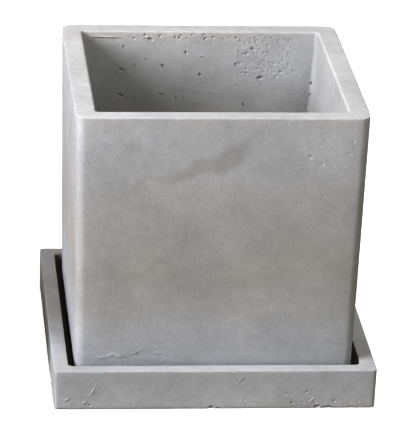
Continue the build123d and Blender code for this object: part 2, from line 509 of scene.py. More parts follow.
def air_holes_tree():
    """Geometry nodes that press the dents of air bubbles into one part of a casting."""
    tree = bpy.data.node_groups.new("air_holes", "GeometryNodeTree")
    face = tree.interface
    for name, kind in (
        ("Casting", "Geometry"), ("Region low", "Vector"), ("Region high", "Vector"),
        ("Facing", "Vector"), ("Holes per square metre", "Float"), ("Spacing", "Float"),
        ("Smallest", "Float"), ("Largest", "Float"), ("Stretch", "Float"), ("Depth", "Float"),
        ("Seed", "Int"), ("Material", "Material"),
    ):
        face.new_socket(name=name, in_out="INPUT", socket_type="NodeSocket" + kind)
    face.new_socket(name="Pitted casting", in_out="OUTPUT", socket_type="NodeSocketGeometry")
    nodes = tree.nodes
    links = tree.links

    sizes = nodes.new("NodeGroupInput")
    sizes.label = "where and how large"
    where = nodes.new("GeometryNodeInputPosition")
    where.label = "place on the casting"
    above = nodes.new("FunctionNodeCompare")
    above.label = "past the low corner"
    below = nodes.new("FunctionNodeCompare")
    below.label = "short of the high corner"
    outward = nodes.new("GeometryNodeInputNormal")
    outward.label = "outward direction"
    facing = nodes.new("ShaderNodeVectorMath")
    facing.label = "turned the right way"
    facing_enough = nodes.new("FunctionNodeCompare")
    facing_enough.label = "facing enough"
    inside = nodes.new("FunctionNodeBooleanMath")
    inside.label = "inside the box"
    chosen = nodes.new("FunctionNodeBooleanMath")
    chosen.label = "inside and facing"
    frame_region = nodes.new("NodeFrame")
    frame_region.label = "which part is pitted"

    scatter = nodes.new("GeometryNodeDistributePointsOnFaces")
    scatter.label = "places of the holes"
    bubble = nodes.new("GeometryNodeMeshIcoSphere")
    bubble.label = "bubble"
    size_share = nodes.new("FunctionNodeRandomValue")
    size_share.label = "chance size"
    mostly_small = nodes.new("ShaderNodeMath")
    mostly_small.label = "mostly small"
    size = nodes.new("ShaderNodeMapRange")
    size.label = "size of each hole"
    length = nodes.new("ShaderNodeMath")
    length.label = "drawn out"
    depth = nodes.new("ShaderNodeMath")
    depth.label = "shallower than wide"
    size_parts = nodes.new("ShaderNodeCombineXYZ")
    size_parts.label = "length, width, depth"
    lean = nodes.new("FunctionNodeRandomValue")
    lean.label = "lean of each hole"
    lean_parts = nodes.new("ShaderNodeCombineXYZ")
    lean_parts.label = "turn on the surface"
    bubbles = nodes.new("GeometryNodeInstanceOnPoints")
    bubbles.label = "bubbles on the skin"
    leaning = nodes.new("GeometryNodeRotateInstances")
    leaning.label = "each leans its own way"
    real = nodes.new("GeometryNodeRealizeInstances")
    real.label = "plain bubbles"
    frame_bubble = nodes.new("NodeFrame")
    frame_bubble.label = "bubbles"

    pressed = nodes.new("GeometryNodeMeshBoolean")
    pressed.label = "press the bubbles in"
    cement_on = nodes.new("GeometryNodeSetMaterial")
    cement_on.label = "cement"
    result = nodes.new("NodeGroupOutput")
    result.label = "pitted casting"

    groups = {
        frame_region: (where, above, below, outward, facing, facing_enough, inside, chosen),
        frame_bubble: (
            scatter, bubble, size_share, mostly_small, size, length, depth, size_parts,
            lean, lean_parts, bubbles, leaning, real,
        ),
    }
    lay_out(groups, main_row=(sizes, pressed, cement_on, result))

    above.data_type = "VECTOR"
    above.mode = "ELEMENT"
    above.operation = "GREATER_THAN"
    below.data_type = "VECTOR"
    below.mode = "ELEMENT"
    below.operation = "LESS_THAN"
    facing.operation = "DOT_PRODUCT"
    facing_enough.operation = "GREATER_THAN"
    facing_enough.inputs["B"].default_value = 0.9
    inside.operation = "AND"
    chosen.operation = "AND"
    scatter.distribute_method = "POISSON"
    bubble.inputs["Radius"].default_value = 1.0
    bubble.inputs["Subdivisions"].default_value = 2
    size_share.data_type = "FLOAT"
    mostly_small.operation = "POWER"
    mostly_small.inputs[1].default_value = 2.2
    length.operation = "MULTIPLY"
    depth.operation = "MULTIPLY"
    lean.data_type = "FLOAT"
    lean.inputs[2].default_value = 0.0
    lean.inputs[3].default_value = math.pi
    pressed.operation = "DIFFERENCE"
    pressed.solver = "MANIFOLD"

    links.new(where.outputs[0], above.inputs["A"])
    links.new(sizes.outputs["Region low"], above.inputs["B"])
    links.new(where.outputs[0], below.inputs["A"])
    links.new(sizes.outputs["Region high"], below.inputs["B"])
    links.new(outward.outputs[0], facing.inputs[0])
    links.new(sizes.outputs["Facing"], facing.inputs[1])
    links.new(facing.outputs["Value"], facing_enough.inputs["A"])
    links.new(above.outputs[0], inside.inputs[0])
    links.new(below.outputs[0], inside.inputs[1])
    links.new(inside.outputs[0], chosen.inputs[0])
    links.new(facing_enough.outputs[0], chosen.inputs[1])
    links.new(sizes.outputs["Casting"], scatter.inputs["Mesh"])
    links.new(chosen.outputs[0], scatter.inputs["Selection"])
    links.new(sizes.outputs["Spacing"], scatter.inputs["Distance Min"])
    links.new(sizes.outputs["Holes per square metre"], scatter.inputs["Density Max"])
    links.new(sizes.outputs["Seed"], scatter.inputs["Seed"])
    links.new(sizes.outputs["Seed"], size_share.inputs["Seed"])
    links.new(size_share.outputs[1], mostly_small.inputs[0])
    links.new(mostly_small.outputs[0], size.inputs["Value"])
    links.new(sizes.outputs["Smallest"], size.inputs["To Min"])
    links.new(sizes.outputs["Largest"], size.inputs["To Max"])
    links.new(size.outputs["Result"], length.inputs[0])
    links.new(sizes.outputs["Stretch"], length.inputs[1])
    links.new(size.outputs["Result"], depth.inputs[0])
    links.new(sizes.outputs["Depth"], depth.inputs[1])
    links.new(length.outputs[0], size_parts.inputs["X"])
    links.new(size.outputs["Result"], size_parts.inputs["Y"])
    links.new(depth.outputs[0], size_parts.inputs["Z"])
    links.new(scatter.outputs["Points"], bubbles.inputs["Points"])
    links.new(bubble.outputs["Mesh"], bubbles.inputs["Instance"])
    links.new(scatter.outputs["Rotation"], bubbles.inputs["Rotation"])
    links.new(size_parts.outputs[0], bubbles.inputs["Scale"])
    links.new(lean.outputs[1], lean_parts.inputs["Z"])
    links.new(sizes.outputs["Seed"], lean.inputs["Seed"])
    links.new(bubbles.outputs["Instances"], leaning.inputs["Instances"])
    links.new(lean_parts.outputs[0], leaning.inputs["Rotation"])
    links.new(leaning.outputs["Instances"], real.inputs["Geometry"])
    links.new(sizes.outputs["Casting"], pressed.inputs["Mesh 1"])
    links.new(real.outputs["Geometry"], pressed.inputs["Mesh 2"])
    links.new(pressed.outputs["Mesh"], cement_on.inputs["Geometry"])
    links.new(sizes.outputs["Material"], cement_on.inputs["Material"])
    links.new(cement_on.outputs["Geometry"], result.inputs["Pitted casting"])
    return tree


LUMP_UNEVENNESS = 0.35             # of its own radius
LUMP_COARSENESS = 1.3


def lump(shape, place, size, lean, seed):
    """Adds an uneven lump to a mesh being built.

    Its size is half its length, width and height in millimetres, and its lean is in radians.
    """
    turn = (
        Matrix.Rotation(lean[0], 4, "X")
        @ Matrix.Rotation(lean[1], 4, "Y")
        @ Matrix.Rotation(lean[2], 4, "Z")
    )
    stretch = Matrix.Diagonal((size[0] * MM, size[1] * MM, size[2] * MM, 1))
    fit = Matrix.Translation(place) @ turn @ stretch
    made = bmesh.ops.create_icosphere(shape, subdivisions=2, radius=1.0)
    for vert in made["verts"]:
        swell = noise.noise(vert.co * LUMP_COARSENESS + Vector((seed, 2.0 * seed, 0.5)))
        vert.co *= 1.0 + LUMP_UNEVENNESS * swell
        vert.co = fit @ vert.co


def combine(piece, shape, operation):
    """Cuts a mesh being built out of a piece, or joins it on, and keeps the result."""
    tool_mesh = bpy.data.meshes.new("tool")
    shape.to_mesh(tool_mesh)
    shape.free()
    tool_mesh.materials.append(piece.data.materials[0])
    tool = bpy.data.objects.new("tool", tool_mesh)
    bpy.context.scene.collection.objects.link(tool)
    modifier = piece.modifiers.new("combine", "BOOLEAN")
    modifier.object = tool
    modifier.operation = operation
    modifier.solver = "MANIFOLD"
    settle(piece)
    bpy.data.objects.remove(tool)
    bpy.data.meshes.remove(tool_mesh)


def cement(
    name, foot, top, shift, top_painted_light, hollow_half, hollow_shade_colour,
    stain_and_shade_place, stain_and_shade_lean, stain_and_shade_size, stain_and_shade_bend, stain_and_shade_colour, stain_and_shade_depth,
):
    """Grey hand-cast cement with trowel clouds, sand, air specks and dots of lime salt.

    Its tone changes with height and is warmer in the middle. The tone at the top is painted light that
    sets how bright the rim tops look: paler on the pot, a little darker on the saucer.
    It has one large soft patch, a stain on the pot and painted shade on the saucer's left rim.
    Inside the hollow it is painted duller and browner, and its air specks are painted darker, both as
    painted shade.
    """
    material = bpy.data.materials.new(name)
    material.use_nodes = True
    tree = material.node_tree
    nodes = tree.nodes
    links = tree.links
    nodes.clear()

    place = nodes.new("ShaderNodeTexCoord")
    place.label = "place on the piece"
    own_place = nodes.new("ShaderNodeMapping")
    own_place.label = "own part of the pattern"
    frame_place = nodes.new("NodeFrame")
    frame_place.label = "where on the casting"

    split = nodes.new("ShaderNodeSeparateXYZ")
    split.label = "height"
    tide = nodes.new("ShaderNodeTexNoise")
    tide.label = "uneven tide lines"
    tide_height = nodes.new("ShaderNodeMath")
    tide_height.label = "height with tide lines"
    share = nodes.new("ShaderNodeMapRange")
    share.label = "share of the height"
    # Tone along the height, warmer in the middle. The top tone is painted light that sets how bright
    # the rim tops look.
    height_tone_and_top_light = nodes.new("ShaderNodeValToRGB")
    height_tone_and_top_light.label = "pale top, dull middle"
    height_gain = nodes.new("ShaderNodeMath")
    height_gain.label = "tone from the height"
    height_warmth = nodes.new("ShaderNodeValToRGB")
    height_warmth.label = "warm middle"
    frame_height = nodes.new("NodeFrame")
    frame_height.label = "how the cement dried from top to foot"

    clouds = nodes.new("ShaderNodeTexNoise")
    clouds.label = "trowel clouds"
    clouds_tone = nodes.new("ShaderNodeMapRange")
    clouds_tone.label = "depth of the clouds"
    mottle = nodes.new("ShaderNodeTexNoise")
    mottle.label = "mottling"
    mottle_tone = nodes.new("ShaderNodeMapRange")
    mottle_tone.label = "depth of the mottling"
    sand = nodes.new("ShaderNodeTexNoise")
    sand.label = "fine sand"
    sand_tone = nodes.new("ShaderNodeMapRange")
    sand_tone.label = "depth of the sand"
    dust = nodes.new("ShaderNodeTexWhiteNoise")
    dust.label = "single grains"
    dust_cells = nodes.new("ShaderNodeVectorMath")
    dust_cells.label = "grain size"
    dust_whole = nodes.new("ShaderNodeVectorMath")
    dust_whole.label = "one value a grain"
    dust_tone = nodes.new("ShaderNodeMapRange")
    dust_tone.label = "depth of the grains"
    clouds_mottle = nodes.new("ShaderNodeMath")
    clouds_mottle.label = "clouds and mottling"
    sand_dust = nodes.new("ShaderNodeMath")
    sand_dust.label = "sand and grains"
    texture_gain = nodes.new("ShaderNodeMath")
    texture_gain.label = "all textures"
    frame_texture = nodes.new("NodeFrame")
    frame_texture.label = "clouds, mottling and sand"

    hue = nodes.new("ShaderNodeTexNoise")
    hue.label = "drift of the hue"
    hue_height = nodes.new("ShaderNodeMath")
    hue_height.label = "hue and height"
    hue_share = nodes.new("ShaderNodeMapRange")
    hue_share.label = "how warm"
    grey = nodes.new("ShaderNodeMix")
    grey.label = "cool grey to warm grey"
    toned = nodes.new("ShaderNodeVectorMath")
    toned.label = "grey with its tones"
    full_gain = nodes.new("ShaderNodeMath")
    full_gain.label = "height and textures"
    frame_grey = nodes.new("NodeFrame")
    frame_grey.label = "grey of the cement"

    # Painted shade: inside the hollow the grey is painted duller and browner.
    hollow_reach = nodes.new("ShaderNodeVectorMath")
    hollow_reach.label = "same on both sides"
    hollow_parts = nodes.new("ShaderNodeSeparateXYZ")
    hollow_parts.label = "distances from the middle"
    hollow_far = nodes.new("ShaderNodeMath")
    hollow_far.label = "the larger distance"
    hollow_shade_share = nodes.new("ShaderNodeMapRange")
    hollow_shade_share.label = "inside the hollow"
    hollow_shade_tint = nodes.new("ShaderNodeVectorMath")
    hollow_shade_tint.label = "duller grey"
    hollow_shaded = nodes.new("ShaderNodeMix")
    hollow_shaded.label = "grey in and out of the hollow"
    frame_hollow_shade = nodes.new("NodeFrame")
    frame_hollow_shade.label = "duller, browner cement inside the hollow"

    # One large soft patch: a real stain on the pot, and painted shade on the back of the saucer's left
    # rim.
    stain_and_shade_space = nodes.new("ShaderNodeMapping")
    stain_and_shade_space.label = "place of the stain"
    stain_and_shade_warp = nodes.new("ShaderNodeTexNoise")
    stain_and_shade_warp.label = "ragged edge"
    stain_and_shade_pull = nodes.new("ShaderNodeVectorMath")
    stain_and_shade_pull.label = "pull the edge about"
    stain_and_shade_parts = nodes.new("ShaderNodeSeparateXYZ")
    stain_and_shade_parts.label = "along and across the stain"
    stain_and_shade_square = nodes.new("ShaderNodeMath")
    stain_and_shade_square.label = "length squared"
    stain_and_shade_drop = nodes.new("ShaderNodeMath")
    stain_and_shade_drop.label = "bend into an arc"
    stain_and_shade_arc = nodes.new("ShaderNodeCombineXYZ")
    stain_and_shade_arc.label = "bent space"
    stain_and_shade_blob = nodes.new("ShaderNodeTexGradient")
    stain_and_shade_blob.label = "soft spot"
    stain_and_shade_soft = nodes.new("ShaderNodeMapRange")
    stain_and_shade_soft.label = "strength of the stain"
    stained_and_shaded = nodes.new("ShaderNodeMix")
    stained_and_shaded.label = "stained grey"
    stain_and_shade_tint = nodes.new("ShaderNodeVectorMath")
    stain_and_shade_tint.label = "darkened grey"
    frame_stain_and_shade = nodes.new("NodeFrame")
    frame_stain_and_shade.label = "one large soft stain"

    salt_cells = nodes.new("ShaderNodeTexVoronoi")
    salt_cells.label = "places of lime salt"
    salt_round = nodes.new("ShaderNodeMapRange")
    salt_round.label = "size of a dot"
    salt_split = nodes.new("ShaderNodeSeparateColor")
    salt_split.label = "chance of a dot"
    salt_rare = nodes.new("ShaderNodeMapRange")
    salt_rare.label = "only a few"
    salt_here = nodes.new("ShaderNodeMath")
    salt_here.label = "dot of salt"
    salt_broken = nodes.new("ShaderNodeMath")
    salt_broken.label = "broken up by the mottling"
    salted = nodes.new("ShaderNodeMix")
    salted.label = "salt on grey"
    frame_salt = nodes.new("NodeFrame")
    frame_salt.label = "dots of lime salt"

    # Air specks are sunk in the bump and painted darker: painted shade in the pits.
    speck_cells = nodes.new("ShaderNodeTexVoronoi")
    speck_cells.label = "places of air specks"
    speck_round = nodes.new("ShaderNodeMapRange")
    speck_round.label = "size of a speck"
    speck_split = nodes.new("ShaderNodeSeparateColor")
    speck_split.label = "chance of a speck"
    speck_rare = nodes.new("ShaderNodeMapRange")
    speck_rare.label = "only some"
    speck_here = nodes.new("ShaderNodeMath")
    speck_here.label = "air speck"
    speck_shade_darkness = nodes.new("ShaderNodeMath")
    speck_shade_darkness.label = "darkness of a speck"
    speck_shaded = nodes.new("ShaderNodeVectorMath")
    speck_shaded.label = "grey with specks"
    frame_speck = nodes.new("NodeFrame")
    frame_speck.label = "open air specks"

    relief_mottle = nodes.new("ShaderNodeMath")
    relief_mottle.label = "mottling stands proud"
    relief_sand = nodes.new("ShaderNodeMath")
    relief_sand.label = "sand stands proud"
    relief_speck = nodes.new("ShaderNodeMath")
    relief_speck.label = "specks are sunk"
    skin = nodes.new("ShaderNodeBump")
    skin.label = "skin of the cement"
    sheen = nodes.new("ShaderNodeMapRange")
    sheen.label = "roughness"
    shader = nodes.new("ShaderNodeBsdfPrincipled")
    shader.label = "cement"
    surface = nodes.new("ShaderNodeOutputMaterial")
    surface.label = "surface"
    frame_skin = nodes.new("NodeFrame")
    frame_skin.label = "skin and finish"

    groups = {
        frame_place: (place, own_place),
        frame_height: (split, tide, tide_height, share, height_tone_and_top_light, height_gain, height_warmth),
        frame_texture: (
            clouds, clouds_tone, mottle, mottle_tone, sand, sand_tone, dust_cells, dust_whole, dust,
            dust_tone, clouds_mottle, sand_dust, texture_gain,
        ),
        frame_grey: (hue, hue_height, hue_share, grey, full_gain, toned),
        frame_hollow_shade: (hollow_reach, hollow_parts, hollow_far, hollow_shade_share, hollow_shade_tint, hollow_shaded),
        frame_stain_and_shade: (
            stain_and_shade_warp, stain_and_shade_pull, stain_and_shade_space, stain_and_shade_parts, stain_and_shade_square, stain_and_shade_drop, stain_and_shade_arc,
            stain_and_shade_blob, stain_and_shade_soft, stain_and_shade_tint, stained_and_shaded,
        ),
        frame_salt: (salt_cells, salt_round, salt_split, salt_rare, salt_here, salt_broken, salted),
        frame_speck: (
            speck_cells, speck_round, speck_split, speck_rare, speck_here, speck_shade_darkness, speck_shaded,
        ),
        frame_skin: (relief_mottle, relief_sand, relief_speck, skin, sheen, shader, surface),
    }
    lay_out(groups)

    own_place.inputs["Location"].default_value = shift
    tide.inputs["Scale"].default_value = 22.0
    tide.inputs["Detail"].default_value = 4.0
    tide_height.operation = "MULTIPLY_ADD"
    tide_reach = 0.16 * (top - foot)
    tide_middle = 0.08 * (top - foot)
    tide_height.inputs[1].default_value = tide_reach
    share.inputs["From Min"].default_value = foot + tide_middle
    share.inputs["From Max"].default_value = top + tide_middle
    # The tone at the top is painted light: it sets how bright the rim tops look.
    tones = height_tone_and_top_light.color_ramp
    tones.elements[0].color = (0.52, 0.52, 0.52, 1)
    tones.elements[1].color = (top_painted_light, top_painted_light, top_painted_light, 1)
    for position, tone in (
        (0.11, 0.498), (0.21, 0.520), (0.28, 0.502), (0.41, 0.472),
        (0.55, 0.482), (0.68, 0.496), (0.82, 0.535), (0.94, top_painted_light),
    ):
        tones.elements.new(position).color = (tone, tone, tone, 1)
    height_gain.operation = "MULTIPLY"
    height_gain.inputs[1].default_value = 2.0
    warmth = height_warmth.color_ramp
    warmth.elements[0].color = (0.1, 0.1, 0.1, 1)
    warmth.elements[1].color = (0.35, 0.35, 0.35, 1)
    for position, amount in ((0.2, 0.0), (0.42, 0.8), (0.6, 0.6), (0.82, 0.05), (0.93, 0.0)):
        warmth.elements.new(position).color = (amount, amount, amount, 1)

    clouds.inputs["Scale"].default_value = 34.0
    clouds.inputs["Detail"].default_value = 4.0
    clouds.inputs["Roughness"].default_value = 0.55
    clouds.inputs["Distortion"].default_value = 0.5
    clouds_tone.inputs["From Min"].default_value = 0.3
    clouds_tone.inputs["From Max"].default_value = 0.7
    clouds_tone.inputs["To Min"].default_value = 0.94
    clouds_tone.inputs["To Max"].default_value = 1.06
    mottle.inputs["Scale"].default_value = 190.0
    mottle.inputs["Detail"].default_value = 6.0
    mottle.inputs["Roughness"].default_value = 0.65
    mottle_tone.inputs["From Min"].default_value = 0.3
    mottle_tone.inputs["From Max"].default_value = 0.7
    mottle_tone.inputs["To Min"].default_value = 0.955
    mottle_tone.inputs["To Max"].default_value = 1.045
    sand.inputs["Scale"].default_value = 1200.0
    sand.inputs["Detail"].default_value = 3.0
    sand.inputs["Roughness"].default_value = 0.7
    sand_tone.inputs["From Min"].default_value = 0.25
    sand_tone.inputs["From Max"].default_value = 0.75
    sand_tone.inputs["To Min"].default_value = 0.94
    sand_tone.inputs["To Max"].default_value = 1.06
    dust_cells.operation = "MULTIPLY"
    dust_cells.inputs[1].default_value = (2200.0, 2200.0, 2200.0)
    dust_whole.operation = "FLOOR"
    dust_tone.inputs["To Min"].default_value = 0.965
    dust_tone.inputs["To Max"].default_value = 1.035
    clouds_mottle.operation = "MULTIPLY"
    sand_dust.operation = "MULTIPLY"
    texture_gain.operation = "MULTIPLY"

    hue.inputs["Scale"].default_value = 30.0
    hue.inputs["Detail"].default_value = 5.0
    hue.inputs["Roughness"].default_value = 0.65
    hue_height.operation = "MULTIPLY_ADD"
    hue_height.inputs[1].default_value = 0.5
    hue_share.inputs["From Min"].default_value = 0.1
    hue_share.inputs["From Max"].default_value = 1.1
    grey.data_type = "RGBA"
    grey.inputs["A"].default_value = (0.376, 0.391, 0.421, 1)
    grey.inputs["B"].default_value = (0.397, 0.400, 0.409, 1)
    full_gain.operation = "MULTIPLY"
    toned.operation = "SCALE"

    hollow_reach.operation = "ABSOLUTE"
    hollow_far.operation = "MAXIMUM"
    rim_blend = 1.3 * MM
    hollow_shade_share.inputs["From Min"].default_value = hollow_half + rim_blend
    hollow_shade_share.inputs["From Max"].default_value = hollow_half
    # Painted shade colour for the hollow.
    hollow_shade_tint.operation = "MULTIPLY"
    hollow_shade_tint.inputs[1].default_value = hollow_shade_colour
    hollow_shaded.data_type = "RGBA"

    stain_and_shade_warp.inputs["Scale"].default_value = 45.0
    stain_and_shade_warp.inputs["Detail"].default_value = 3.0
    stain_and_shade_pull.operation = "MULTIPLY_ADD"
    stain_and_shade_raggedness = Vector((0.02, 0.02, 0.02))
    stain_and_shade_pull.inputs[1].default_value = stain_and_shade_raggedness
    stain_and_shade_space.vector_type = "TEXTURE"
    stain_and_shade_space.inputs["Location"].default_value = Vector(stain_and_shade_place) + stain_and_shade_raggedness / 2
    stain_and_shade_space.inputs["Rotation"].default_value = stain_and_shade_lean
    stain_and_shade_space.inputs["Scale"].default_value = stain_and_shade_size
    stain_and_shade_square.operation = "MULTIPLY"
    stain_and_shade_drop.operation = "MULTIPLY_ADD"
    stain_and_shade_drop.inputs[1].default_value = -stain_and_shade_bend
    stain_and_shade_blob.gradient_type = "SPHERICAL"
    stain_and_shade_soft.interpolation_type = "SMOOTHSTEP"
    stain_and_shade_soft.inputs["From Max"].default_value = 0.7
    stain_and_shade_soft.inputs["To Max"].default_value = stain_and_shade_depth
    # Darkening of the patch: stain on the pot, painted shade on the saucer.
    stain_and_shade_tint.operation = "MULTIPLY"
    stain_and_shade_tint.inputs[1].default_value = stain_and_shade_colour
    stained_and_shaded.data_type = "RGBA"

    salt_cells.inputs["Scale"].default_value = 62.0
    salt_round.interpolation_type = "SMOOTHSTEP"
    salt_round.inputs["From Min"].default_value = 0.04
    salt_round.inputs["From Max"].default_value = 0.2
    salt_round.inputs["To Min"].default_value = 1.0
    salt_round.inputs["To Max"].default_value = 0.0
    salt_rare.inputs["From Min"].default_value = 0.8
    salt_rare.inputs["From Max"].default_value = 0.95
    salt_here.operation = "MULTIPLY"
    salt_broken.operation = "MULTIPLY"
    salted.data_type = "RGBA"
    salted.inputs["B"].default_value = (0.50, 0.51, 0.52, 1)

    speck_cells.inputs["Scale"].default_value = 230.0
    speck_round.interpolation_type = "SMOOTHSTEP"
    speck_round.inputs["From Min"].default_value = 0.04
    speck_round.inputs["From Max"].default_value = 0.1
    speck_round.inputs["To Min"].default_value = 1.0
    speck_round.inputs["To Max"].default_value = 0.0
    speck_rare.inputs["From Min"].default_value = 0.9
    speck_rare.inputs["From Max"].default_value = 1.0
    speck_here.operation = "MULTIPLY"
    # Painted shade: a speck is painted 30 % darker.
    speck_shade_darkness.operation = "MULTIPLY_ADD"
    speck_shade_darkness.inputs[1].default_value = -0.3
    speck_shade_darkness.inputs[2].default_value = 1.0
    speck_shaded.operation = "SCALE"

    relief_mottle.operation = "MULTIPLY"
    relief_mottle.inputs[1].default_value = 1.0
    relief_sand.operation = "MULTIPLY_ADD"
    relief_sand.inputs[1].default_value = 0.35
    relief_speck.operation = "MULTIPLY_ADD"
    relief_speck.inputs[1].default_value = -0.8
    skin.inputs["Strength"].default_value = 0.6
    skin.inputs["Distance"].default_value = 0.35 * MM
    sheen.inputs["To Min"].default_value = 0.84
    sheen.inputs["To Max"].default_value = 0.97
    shader.inputs["Specular IOR Level"].default_value = 0.25
    shader.inputs["Diffuse Roughness"].default_value = 0.2

    links.new(place.outputs["Object"], own_place.inputs["Vector"])
    links.new(place.outputs["Object"], split.inputs[0])
    links.new(own_place.outputs["Vector"], tide.inputs["Vector"])
    links.new(tide.outputs["Fac"], tide_height.inputs[0])
    links.new(split.outputs["Z"], tide_height.inputs[2])
    links.new(tide_height.outputs[0], share.inputs["Value"])
    links.new(share.outputs["Result"], height_tone_and_top_light.inputs["Fac"])
    links.new(share.outputs["Result"], height_warmth.inputs["Fac"])
    links.new(height_tone_and_top_light.outputs["Color"], height_gain.inputs[0])
    links.new(own_place.outputs["Vector"], clouds.inputs["Vector"])
    links.new(clouds.outputs["Fac"], clouds_tone.inputs["Value"])
    links.new(own_place.outputs["Vector"], mottle.inputs["Vector"])
    links.new(mottle.outputs["Fac"], mottle_tone.inputs["Value"])
    links.new(own_place.outputs["Vector"], sand.inputs["Vector"])
    links.new(sand.outputs["Fac"], sand_tone.inputs["Value"])
    links.new(own_place.outputs["Vector"], dust_cells.inputs[0])
    links.new(dust_cells.outputs[0], dust_whole.inputs[0])
    links.new(dust_whole.outputs[0], dust.inputs["Vector"])
    links.new(dust.outputs["Value"], dust_tone.inputs["Value"])
    links.new(clouds_tone.outputs["Result"], clouds_mottle.inputs[0])
    links.new(mottle_tone.outputs["Result"], clouds_mottle.inputs[1])
    links.new(sand_tone.outputs["Result"], sand_dust.inputs[0])
    links.new(dust_tone.outputs["Result"], sand_dust.inputs[1])
    links.new(clouds_mottle.outputs[0], texture_gain.inputs[0])
    links.new(sand_dust.outputs[0], texture_gain.inputs[1])
    links.new(own_place.outputs["Vector"], hue.inputs["Vector"])
    links.new(hue.outputs["Fac"], hue_height.inputs[0])
    links.new(height_warmth.outputs["Color"], hue_height.inputs[2])
    links.new(hue_height.outputs[0], hue_share.inputs["Value"])
    links.new(hue_share.outputs["Result"], grey.inputs["Factor"])
    links.new(height_gain.outputs[0], full_gain.inputs[0])
    links.new(texture_gain.outputs[0], full_gain.inputs[1])
    links.new(grey.outputs["Result"], toned.inputs[0])
    links.new(full_gain.outputs[0], toned.inputs["Scale"])
    links.new(place.outputs["Object"], stain_and_shade_warp.inputs["Vector"])
    links.new(stain_and_shade_warp.outputs["Color"], stain_and_shade_pull.inputs[0])
    links.new(place.outputs["Object"], stain_and_shade_pull.inputs[2])
    links.new(stain_and_shade_pull.outputs[0], stain_and_shade_space.inputs["Vector"])
    links.new(stain_and_shade_space.outputs["Vector"], stain_and_shade_parts.inputs["Vector"])
    links.new(stain_and_shade_parts.outputs["X"], stain_and_shade_square.inputs[0])
    links.new(stain_and_shade_parts.outputs["X"], stain_and_shade_square.inputs[1])
    links.new(stain_and_shade_square.outputs[0], stain_and_shade_drop.inputs[0])
    links.new(stain_and_shade_parts.outputs["Z"], stain_and_shade_drop.inputs[2])
    links.new(stain_and_shade_parts.outputs["X"], stain_and_shade_arc.inputs["X"])
    links.new(stain_and_shade_parts.outputs["Y"], stain_and_shade_arc.inputs["Y"])
    links.new(stain_and_shade_drop.outputs[0], stain_and_shade_arc.inputs["Z"])
    links.new(stain_and_shade_arc.outputs[0], stain_and_shade_blob.inputs["Vector"])
    links.new(stain_and_shade_blob.outputs["Fac"], stain_and_shade_soft.inputs["Value"])
    links.new(place.outputs["Object"], hollow_reach.inputs[0])
    links.new(hollow_reach.outputs[0], hollow_parts.inputs["Vector"])
    links.new(hollow_parts.outputs["X"], hollow_far.inputs[0])
    links.new(hollow_parts.outputs["Y"], hollow_far.inputs[1])
    links.new(hollow_far.outputs[0], hollow_shade_share.inputs["Value"])
    links.new(toned.outputs[0], hollow_shade_tint.inputs[0])
    links.new(hollow_shade_share.outputs["Result"], hollow_shaded.inputs["Factor"])
    links.new(toned.outputs[0], hollow_shaded.inputs["A"])
    links.new(hollow_shade_tint.outputs[0], hollow_shaded.inputs["B"])
    links.new(hollow_shaded.outputs["Result"], stain_and_shade_tint.inputs[0])
    links.new(stain_and_shade_soft.outputs["Result"], stained_and_shaded.inputs["Factor"])
    links.new(hollow_shaded.outputs["Result"], stained_and_shaded.inputs["A"])
    links.new(stain_and_shade_tint.outputs[0], stained_and_shaded.inputs["B"])
    links.new(own_place.outputs["Vector"], salt_cells.inputs["Vector"])
    links.new(salt_cells.outputs["Distance"], salt_round.inputs["Value"])
    links.new(salt_cells.outputs["Color"], salt_split.inputs[0])
    links.new(salt_split.outputs["Red"], salt_rare.inputs["Value"])
    links.new(salt_round.outputs["Result"], salt_here.inputs[0])
    links.new(salt_rare.outputs["Result"], salt_here.inputs[1])
    links.new(salt_here.outputs[0], salt_broken.inputs[0])
    links.new(mottle.outputs["Fac"], salt_broken.inputs[1])
    links.new(salt_broken.outputs[0], salted.inputs["Factor"])
    links.new(stained_and_shaded.outputs["Result"], salted.inputs["A"])
    links.new(own_place.outputs["Vector"], speck_cells.inputs["Vector"])
    links.new(speck_cells.outputs["Distance"], speck_round.inputs["Value"])
    links.new(speck_cells.outputs["Color"], speck_split.inputs[0])
    links.new(speck_split.outputs["Green"], speck_rare.inputs["Value"])
    links.new(speck_round.outputs["Result"], speck_here.inputs[0])
    links.new(speck_rare.outputs["Result"], speck_here.inputs[1])
    links.new(speck_here.outputs[0], speck_shade_darkness.inputs[0])
    links.new(salted.outputs["Result"], speck_shaded.inputs[0])
    links.new(speck_shade_darkness.outputs[0], speck_shaded.inputs["Scale"])
    links.new(mottle.outputs["Fac"], relief_mottle.inputs[0])
    links.new(sand.outputs["Fac"], relief_sand.inputs[0])
    links.new(relief_mottle.outputs[0], relief_sand.inputs[2])
    links.new(speck_here.outputs[0], relief_speck.inputs[0])
    links.new(relief_sand.outputs[0], relief_speck.inputs[2])
    links.new(relief_speck.outputs[0], skin.inputs["Height"])
    links.new(mottle.outputs["Fac"], sheen.inputs["Value"])
    links.new(speck_shaded.outputs[0], shader.inputs["Base Color"])
    links.new(sheen.outputs["Result"], shader.inputs["Roughness"])
    links.new(skin.outputs["Normal"], shader.inputs["Normal"])
    links.new(shader.outputs["BSDF"], surface.inputs["Surface"])
    return material


